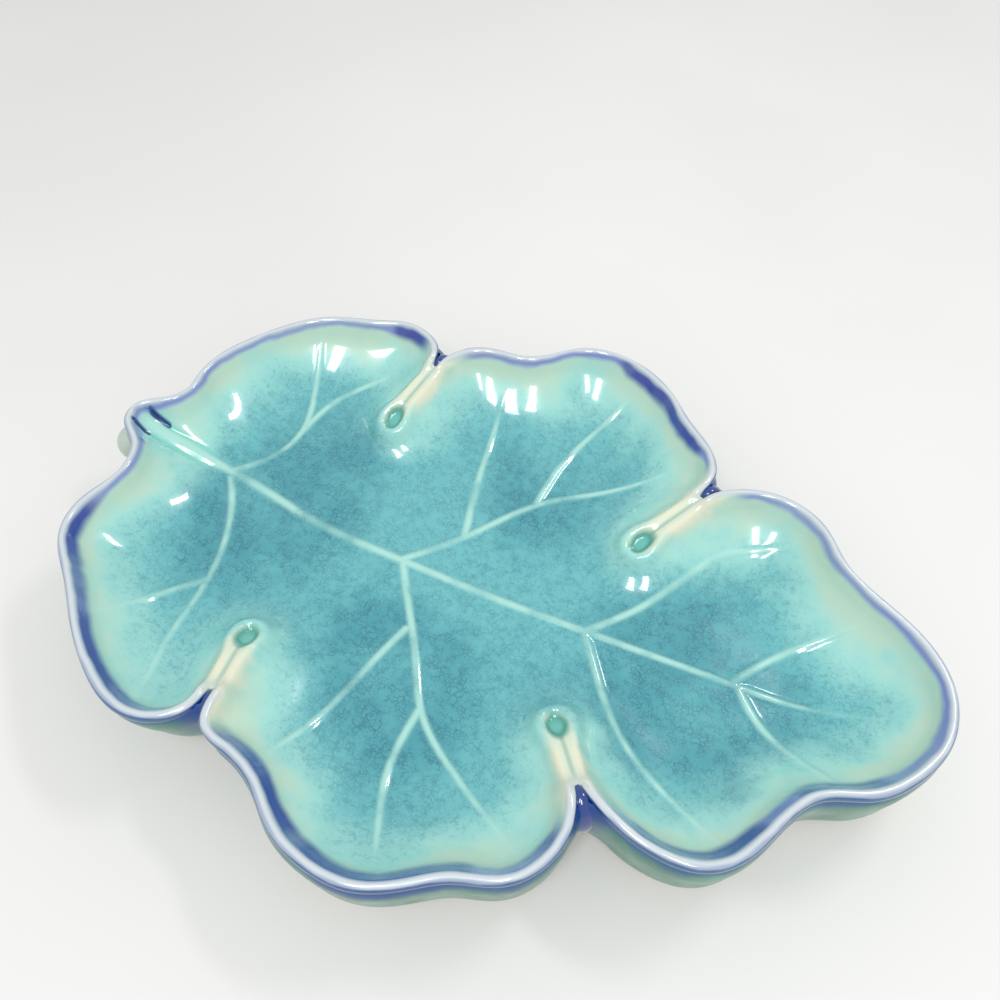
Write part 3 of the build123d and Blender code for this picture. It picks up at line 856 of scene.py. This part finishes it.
# Bumps: waves to the metre, detail, strength and height in metres
BOWL_BUMP = (260, 2.0, 0.12, 0.0004)
LIP_BUMP = (420, 2.0, 0.15, 0.0003)
WALL_BUMP = (240, 3.0, 0.2, 0.0005)
POOL_BUMP = (600, 2.0, 0.1, 0.0003)
CLAY_BUMP = (1500, 4.0, 0.5, 0.0003)

# Noises: waves to the metre and detail, and the part of a noise's range that is used when it is spread
NOISE_LOW = 0.3
NOISE_HIGH = 0.7
GLOSS_NOISE = (300, 3.0)
VEIN_NOISE = (150, 3.0)
BRUSH_NOISE = (40, 2.0)
BAND_NOISE = (60, 2.0)
GREEN_NOISE = (180, 3.0)
COBALT_NOISE = (500, 3.0)
CLAY_NOISE = (900, 5.0)
FLOOR_NOISE = (6, 3.0)

# Drifts shift an edge to and fro: waves to the metre, reach to either side, detail and roughness
DEPTH_DRIFT = (90, 1.9)
PATCH_DRIFT = (110, 0.35, 5.0)
GRAIN_DRIFT = (1300, 0.5, 3.0, 0.7)
HALO_DRIFT = (200, 0.6)
POOL_DRIFT = (500, 0.1)
SIDE_DRIFT = (130, 0.16, 2.0)
BLUE_DRIFT = (90, 0.3, 2.0)
OUTSIDE_DRIFT = (150, 0.08)
LEVEL_DRIFT = (120, 0.6)
STEM_DRIFT = (220, 0.5)

# Nets of cracks: cells to the metre, width, and the noise that breaks the net up, with its span
FINE_CRACKS = (2100, 0.2, (600, 2.0), (0.40, 0.60, 0.0, 0.8))
LONG_CRACKS = (1050, 0.11, (330, 2.0), (0.46, 0.62, 0.0, 0.9))
CRACK_WOBBLE = 0.0007
CRACK_WOBBLE_SHARE = 0.9

# Spans tell where one thing passes into another: from, to, and the shares there, 0 and 1 if not given.
# These go by the depth inside the wall, by the patches of deep glaze and by the strength of the grain.
CREAM_TO_AQUA = (0.8, 4.8)
AQUA_TO_TEAL = (3.0, 10.5)
TEAL_TO_DEEP = (3.0, 9.5, 0.0, 0.85)
DEEP_PATCHES = (0.1, 1.35)
GRAIN_BY_DEPTH = (2.0, 8.0, 0.1, 1.0)
GRAIN_SHOWN = (0.0, 0.5, 0.0, 0.42)
CRACKS_BY_PATCH = (0.0, 1.0, 0.5, 1.0)
CRACKS_BY_DEPTH = (3.0, 11.0, 0.05, 0.85)

# These go by the crests of the veins, the gullies, the flanks of the folds and the keyholes' pools
VEIN_WORN = (0.32, 0.6, 0.35, 1.0)
VEIN_SHOWN = (0.02, 1.0, 0.0, 0.92)
GULLY_SHOWN = (0.1, 1.0, 0.0, 0.8)
CREAM_BY_FLANK = (1.4, 4.1, 0.95, 0.0)
PEACH_FROM_FLANK = (0.6, 1.4)
PEACH_TO_FLANK = (1.6, 3.0, 0.6, 0.0)
PEACH_BY_KEYHOLE = (2.0, 3.6)
GROOVE_SHADE_BY_RIM = (0.0, 0.5, 1.0, 0.0)
GROOVE_SHADE_BY_NOTCH = (0.05, 0.5, 0.65, 0.0)
GREEN_BY_POOL = (POOL_RADIUS * 0.65, POOL_RADIUS * 1.2, 1.0, 0.0)
TEAL_BY_POOL = (POOL_RADIUS * 0.25, POOL_RADIUS * 0.8, 0.8, 0.0)
BLUE_BY_PIT = (STEM_WELL_RADIUS * 0.6, STEM_WELL_RADIUS * 1.7, 1.0, 0.0)

# These go by the distance inside the lip's middle, and make the lip, white along its crest as a painted
# highlight, and the blue line
LINE_BY_NOTCH = (2.4, 6.0)
LINE_BREADTH = (0.0, 1.0, 0.85, 1.35)
LINE_FROM = (0.25, 0.6)
LINE_TO = (0.75, 1.3, 1.0, 0.0)
LINE_BRUSHED = (0.38, 0.64, 0.78, 1.0)
LINE_STRONG = (0.3, 0.8)
CREST_HIGHLIGHT_TO_LAVENDER = (0.1, 0.55)
WHITE_BY_NOTCH = (0.0, 0.7, 0.8, 0.0)
LIP_TO_BOWL = (0.3, 0.7, 1.0, 0.0)

# These go by the lip's outer side, the height on the outer wall and the distance from the stem's knob
BAND_BY_NOTCH = (2.0, 6.0, 0.9, 0.1)
BAND_BLOTCHES = (0.5, 0.7, 0.0, 0.6)
BAND_BY_SIDE = (-0.72, -0.5, 1.0, 0.0)
BAND_BY_UP = (0.0, 0.5, 1.0, 0.0)
BAND_BY_RIM = (0.3, 0.8)
BAND_BY_LEVEL = (12.6, 14.0)
COBALT_BY_NOTCH = (1.4, 6.0, 0.92, 0.0)
COBALT_BY_LEVEL = (6.0, 10.0)
STEM_SHOWN = (2.6, 6.5, 0.85, 0.0)
BARE_BY_LEVEL = (2.6, 4.0, 1.0, 0.0)
DARK_BLOTCHES = (0.35, 0.7)


# The nodes of one procedural material round a principled shader
class Nodes:
    def __init__(self, name):
        self.material = bpy.data.materials.new(name)
        self.material.use_nodes = True
        self.tree = self.material.node_tree
        self.tree.nodes.clear()
        self.shader = self.add("ShaderNodeBsdfPrincipled")
        output = self.add("ShaderNodeOutputMaterial")
        self.link(self.shader.outputs[0], output.inputs["Surface"])

    def add(self, kind):
        return self.tree.nodes.new(kind)

    def link(self, start, end):
        self.tree.links.new(start, end)

    def put(self, value, socket):
        if isinstance(value, bpy.types.NodeSocket):
            self.link(value, socket)
        else:
            socket.default_value = value

    def attribute(self, name):
        node = self.add("ShaderNodeAttribute")
        node.attribute_name = name
        return node.outputs["Fac"]

    def span(self, value, low, high, from_value=0.0, to_value=1.0):
        node = self.add("ShaderNodeMapRange")
        node.interpolation_type = "SMOOTHSTEP"
        given = {"From Min": low, "From Max": high, "To Min": from_value, "To Max": to_value}
        for key, number in given.items():
            node.inputs[key].default_value = number
        self.put(value, node.inputs["Value"])
        return node.outputs["Result"]

    def maths(self, operation, a, b):
        node = self.add("ShaderNodeMath")
        node.operation = operation
        self.put(a, node.inputs[0])
        self.put(b, node.inputs[1])
        return node.outputs[0]

    def times(self, a, b):
        return self.maths("MULTIPLY", a, b)

    def plus(self, a, b):
        return self.maths("ADD", a, b)

    def mix(self, share, a, b):
        node = self.add("ShaderNodeMix")
        node.data_type = "RGBA"
        self.put(share, node.inputs["Factor"])
        self.put(a, node.inputs["A"])
        self.put(b, node.inputs["B"])
        return node.outputs["Result"]

    def place(self):
        return self.add("ShaderNodeTexCoord").outputs["Object"]

    def noise(self, scale, detail, rough=0.55):
        node = self.add("ShaderNodeTexNoise")
        node.inputs["Scale"].default_value = scale
        node.inputs["Detail"].default_value = detail
        node.inputs["Roughness"].default_value = rough
        self.link(self.place(), node.inputs["Vector"])
        return node.outputs["Fac"]

    def between(self, noise, low, high):
        return self.span(self.noise(*noise), NOISE_LOW, NOISE_HIGH, low, high)

    def drift(self, scale, reach, detail=3.0, rough=0.55):
        return self.between((scale, detail, rough), -reach, reach)

    # Thin lines between cells whose sides are a little bent
    def crackle(self, scale, width):
        wobble = self.add("ShaderNodeTexNoise")
        wobble.inputs["Scale"].default_value = scale * CRACK_WOBBLE_SHARE
        self.link(self.place(), wobble.inputs["Vector"])
        moved = self.add("ShaderNodeVectorMath")
        moved.operation = "MULTIPLY_ADD"
        moved.inputs[1].default_value = (CRACK_WOBBLE, CRACK_WOBBLE, CRACK_WOBBLE)
        self.link(wobble.outputs["Color"], moved.inputs[0])
        self.link(self.place(), moved.inputs[2])
        cells = self.add("ShaderNodeTexVoronoi")
        cells.feature = "DISTANCE_TO_EDGE"
        cells.inputs["Scale"].default_value = scale
        self.link(moved.outputs[0], cells.inputs["Vector"])
        return self.span(cells.outputs["Distance"], 0.0, width, 1.0, 0.0)

    def bump(self, scale, detail, strength, distance):
        node = self.add("ShaderNodeBump")
        node.inputs["Strength"].default_value = strength
        node.inputs["Distance"].default_value = distance
        self.link(self.noise(scale, detail), node.inputs["Height"])
        self.link(node.outputs["Normal"], self.shader.inputs["Normal"])

    def glaze(self, rough, coat=1.0):
        self.put(rough, self.shader.inputs["Roughness"])
        self.shader.inputs["IOR"].default_value = GLASS_IOR
        self.shader.inputs["Coat Weight"].default_value = coat
        self.shader.inputs["Coat Roughness"].default_value = COAT_ROUGHNESS
        self.shader.inputs["Coat IOR"].default_value = GLASS_IOR

    def colour(self, value):
        self.link(value, self.shader.inputs["Base Color"])


def broken_cracks(n, scale, width, noise, shown):
    return n.times(n.crackle(scale, width), n.span(n.noise(*noise), *shown))


# The glaze on the bowl's slopes and floor, before anything lies on it
def pooled_colour(n):
    depth = n.plus(n.attribute("depth"), n.drift(*DEPTH_DRIFT))
    colour = n.mix(n.span(depth, *CREAM_TO_AQUA), CREAM, AQUA)
    colour = n.mix(n.span(depth, *AQUA_TO_TEAL), colour, TEAL)
    patch = n.span(n.plus(n.drift(*PATCH_DRIFT), n.attribute("deep")), *DEEP_PATCHES)
    colour = n.mix(n.times(patch, n.span(depth, *TEAL_TO_DEEP)), colour, DEEP_TEAL)
    grain = n.times(n.drift(*GRAIN_DRIFT), n.span(depth, *GRAIN_BY_DEPTH))
    colour = n.mix(n.span(grain, *GRAIN_SHOWN), colour, DEEP_TEAL)
    cracks = n.maths("MAXIMUM", broken_cracks(n, *FINE_CRACKS), broken_cracks(n, *LONG_CRACKS))
    strength = n.times(n.span(patch, *CRACKS_BY_PATCH), n.span(depth, *CRACKS_BY_DEPTH))
    return n.mix(n.times(cracks, strength), colour, CRACK)


# Veins, and the pale sides of the folds with painted shade in the thin groove between them
def raised_colour(n, colour):
    colour = n.mix(n.span(n.attribute("gully"), *GULLY_SHOWN), colour, GULLY_GREEN)
    worn = n.span(n.noise(*VEIN_NOISE), *VEIN_WORN)
    colour = n.mix(n.times(n.span(n.attribute("crest"), *VEIN_SHOWN), worn), colour, VEIN)
    halo = n.plus(n.attribute("flank"), n.drift(*HALO_DRIFT))
    colour = n.mix(n.span(halo, *CREAM_BY_FLANK), colour, RIDGE_CREAM)
    flank = n.times(n.span(halo, *PEACH_FROM_FLANK), n.span(halo, *PEACH_TO_FLANK))
    colour = n.mix(n.times(flank, n.span(n.attribute("keyhole"), *PEACH_BY_KEYHOLE)), colour, PEACH)
    # Painted shade: grey-green along the groove where the two ridges of a fold meet
    fold = n.span(n.attribute("rim"), *GROOVE_SHADE_BY_RIM)
    colour = n.mix(n.times(n.span(n.attribute("notch"), *GROOVE_SHADE_BY_NOTCH), fold), colour, GROOVE_SHADE_GREY)
    pool = n.plus(n.attribute("keyhole"), n.drift(*POOL_DRIFT))
    colour = n.mix(n.span(pool, *GREEN_BY_POOL), colour, POOL_GREEN)
    return n.mix(n.span(pool, *TEAL_BY_POOL), colour, POOL_TEAL)


# The lip, painted white along its crest as a highlight and lavender on its sides, and the brushed blue line
# inside it
def rim_colour(n, colour):
    side = n.plus(n.attribute("side"), n.drift(*SIDE_DRIFT))
    rim = n.attribute("rim")
    clear = n.span(n.attribute("notch"), *LINE_BY_NOTCH)
    breadth = n.times(n.attribute("front"), FRONT_WIDENING)
    breadth = n.plus(breadth, n.span(n.attribute("blue"), *LINE_BREADTH))
    reach = n.maths("DIVIDE", side, breadth)
    line = n.times(n.span(side, *LINE_FROM), n.span(reach, *LINE_TO))
    power = n.maths("MAXIMUM", n.attribute("blue"), n.span(n.noise(*BRUSH_NOISE), *LINE_BRUSHED))
    strong = n.span(n.plus(n.attribute("blue"), n.drift(*BLUE_DRIFT)), *LINE_STRONG)
    blue = n.mix(strong, BLUE_LINE, STRONG_LINE)
    colour = n.mix(n.times(n.times(line, power), n.times(rim, clear)), colour, blue)
    # Painted highlight: white along the lip's crest, passing into lavender down its sides
    lip = n.mix(n.span(n.maths("ABSOLUTE", side, 0.0), *CREST_HIGHLIGHT_TO_LAVENDER), LIP_WHITE_AND_CREST_HIGHLIGHT, LAVENDER)
    lip = n.mix(n.span(clear, *WHITE_BY_NOTCH), lip, LIP_WHITE_AND_CREST_HIGHLIGHT)
    return n.mix(n.times(n.span(side, *LIP_TO_BOWL), rim), colour, lip)


# The glaze's colours from the lip to the floor, the same on the lip's tube and in the bowl
def glaze_colour(n):
    colour = rim_colour(n, raised_colour(n, pooled_colour(n)))
    return n.mix(n.span(n.attribute("pit"), *BLUE_BY_PIT), colour, PIT_BLUE)


# The blotches of darker blue in the band under the lip
def blotched(n, colour):
    return n.mix(n.span(n.noise(*BAND_NOISE), *BAND_BLOTCHES), colour, COBALT)


def bowl_material():
    n = Nodes("turquoise_glaze")
    n.colour(glaze_colour(n))
    n.glaze(n.between(GLOSS_NOISE, *BOWL_ROUGHNESS))
    n.bump(*BOWL_BUMP)
    return n.material


def lip_material():
    n = Nodes("glazed_lip")
    band = blotched(n, n.mix(n.span(n.attribute("notch"), *BAND_BY_NOTCH), BAND_BLUE, COBALT))
    outside = n.plus(n.attribute("side"), n.drift(*OUTSIDE_DRIFT))
    below = n.maths("MAXIMUM", n.span(outside, *BAND_BY_SIDE), n.span(n.attribute("up"), *BAND_BY_UP))
    below = n.times(below, n.span(n.attribute("rim"), *BAND_BY_RIM))
    n.colour(n.mix(below, glaze_colour(n), band))
    n.glaze(n.between(GLOSS_NOISE, *LIP_ROUGHNESS))
    n.bump(*LIP_BUMP)
    return n.material


def wall_material():
    n = Nodes("green_glaze")
    level = n.plus(n.attribute("level"), n.drift(*LEVEL_DRIFT))
    colour = n.mix(n.between(GREEN_NOISE, 0.0, 1.0), GREEN, PALE_GREEN)
    colour = n.mix(n.span(level, *BAND_BY_LEVEL), colour, blotched(n, BAND_BLUE))
    near = n.times(n.span(n.attribute("notch"), *COBALT_BY_NOTCH), n.span(level, *COBALT_BY_LEVEL))
    colour = n.mix(near, colour, COBALT)
    stem = n.plus(n.attribute("stem"), n.drift(*STEM_DRIFT))
    colour = n.mix(n.span(stem, *STEM_SHOWN), colour, STEM_PALE)
    n.colour(n.mix(n.span(level, *BARE_BY_LEVEL), colour, CLAY))
    n.glaze(n.between(GLOSS_NOISE, *WALL_ROUGHNESS), WALL_COAT)
    n.bump(*WALL_BUMP)
    return n.material


def pool_material():
    n = Nodes("cobalt_glaze")
    n.colour(n.mix(n.span(n.noise(*COBALT_NOISE), *DARK_BLOTCHES), COBALT, PIT_BLUE))
    n.glaze(POOL_ROUGHNESS)
    n.bump(*POOL_BUMP)
    return n.material


def clay_material():
    n = Nodes("bare_clay")
    n.colour(n.mix(n.span(n.noise(*CLAY_NOISE), *DARK_BLOTCHES), CLAY, DARK_CLAY))
    n.shader.inputs["Roughness"].default_value = CLAY_ROUGHNESS
    n.bump(*CLAY_BUMP)
    return n.material


def floor_material():
    n = Nodes("pale_floor")
    n.colour(n.mix(n.between(FLOOR_NOISE, 0.0, 1.0), PALE_FLOOR, GREY_FLOOR))
    n.shader.inputs["Roughness"].default_value = FLOOR_ROUGHNESS
    return n.material


def dress(piece, material, slot, *nodes):
    piece.data.materials.clear()
    piece.data.materials.append(material)
    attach(piece, "root")
    if nodes:
        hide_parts(*nodes)


def build_dish():
    dress(make_field(), bowl_material(), "turquoise_glaze",
          "inside_glaze", "cobalt_line_inside", "notch_glaze_pools")
    dress(make_lip(), lip_material(), "glazed_lip", "clay_body")
    green = wall_material()
    dress(make_wall(), green, "green_glaze", "outside_glaze", "cobalt_line_outside")
    dress(make_knob(), green, "green_glaze")
    dress(make_pools(), pool_material(), "cobalt_glaze", "cobalt_pools")
    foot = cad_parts["foot_ring"]
    clay = clay_material()
    for slot in foot.material_slots:
        slot.material = clay


# The camera of the photograph, in the dish's own plan before the centring shift
CAMERA_PLACE = np.array([27.36, -54.16, 112.18])
CAMERA_TILT = math.radians(54.11)
CAMERA_HEADING = math.radians(115.39)
CAMERA_ROLL = math.radians(1.67)
CAMERA_LENS = 29.22
CAMERA_NEAR = 0.005
SENSOR = 36.0


def make_camera():
    forward = Vector((math.cos(CAMERA_HEADING) * math.cos(CAMERA_TILT),
                      math.sin(CAMERA_HEADING) * math.cos(CAMERA_TILT), -math.sin(CAMERA_TILT)))
    level = forward.cross(Vector((0, 0, 1))).normalized()
    right = Matrix.Rotation(CAMERA_ROLL, 3, -forward) @ level
    up = right.cross(forward)
    data = bpy.data.cameras.new("photo_camera")
    data.lens = CAMERA_LENS
    data.sensor_width = SENSOR
    data.clip_start = CAMERA_NEAR
    camera = bpy.data.objects.new("photo_camera", data)
    turn = Matrix((right, up, -forward)).transposed().to_4x4()
    spot = (CAMERA_PLACE + np.array([*SHIFT, 0])) * MM
    camera.matrix_world = Matrix.Translation(Vector(spot)) @ turn
    bpy.context.scene.collection.objects.link(camera)
    bpy.context.scene.camera = camera


# Window light: where each pane is, what it faces and its size, all in metres, and its power in watts
LAMPS = {
    "pane_left": ((0.00, -0.19, 0.40), (0, 0, 0.01), (0.06, 0.18), 0.46),
    "pane_right": ((0.14, -0.19, 0.40), (0, 0, 0.01), (0.06, 0.18), 0.46),
    "pane_far": ((0.15, 0.25, 0.38), (0.05, 0.012, 0.009), (0.13, 0.04), 0.35),
}
WORLD_STRENGTH = 0.76
FLOOR_HALF = 3.0


def lamp(name, spot, aim, size, power):
    data = bpy.data.lights.new(name, "AREA")
    data.shape = "RECTANGLE"
    data.size, data.size_y = size
    data.energy = power
    piece = bpy.data.objects.new(name, data)
    piece.location = spot
    piece.rotation_euler = (Vector(aim) - Vector(spot)).to_track_quat("-Z", "Y").to_euler()
    bpy.context.scene.collection.objects.link(piece)


def make_stage():
    corners = [(x * FLOOR_HALF, y * FLOOR_HALF, 0) for x, y in ((-1, -1), (1, -1), (1, 1), (-1, 1))]
    mesh = bpy.data.meshes.new("floor")
    mesh.from_pydata(corners, [], [(0, 1, 2, 3)])
    floor = bpy.data.objects.new("floor", mesh)
    bpy.context.scene.collection.objects.link(floor)
    floor.data.materials.append(floor_material())
    world = bpy.data.worlds.new("studio")
    bpy.context.scene.world = world
    world.use_nodes = True
    background = world.node_tree.nodes["Background"]
    background.inputs[0].default_value = (1, 1, 1, 1)
    background.inputs[1].default_value = WORLD_STRENGTH
    for name, given in LAMPS.items():
        lamp(name, *given)


bpy.context.scene.view_settings.view_transform = "Standard"
build_dish()
make_camera()
make_stage()
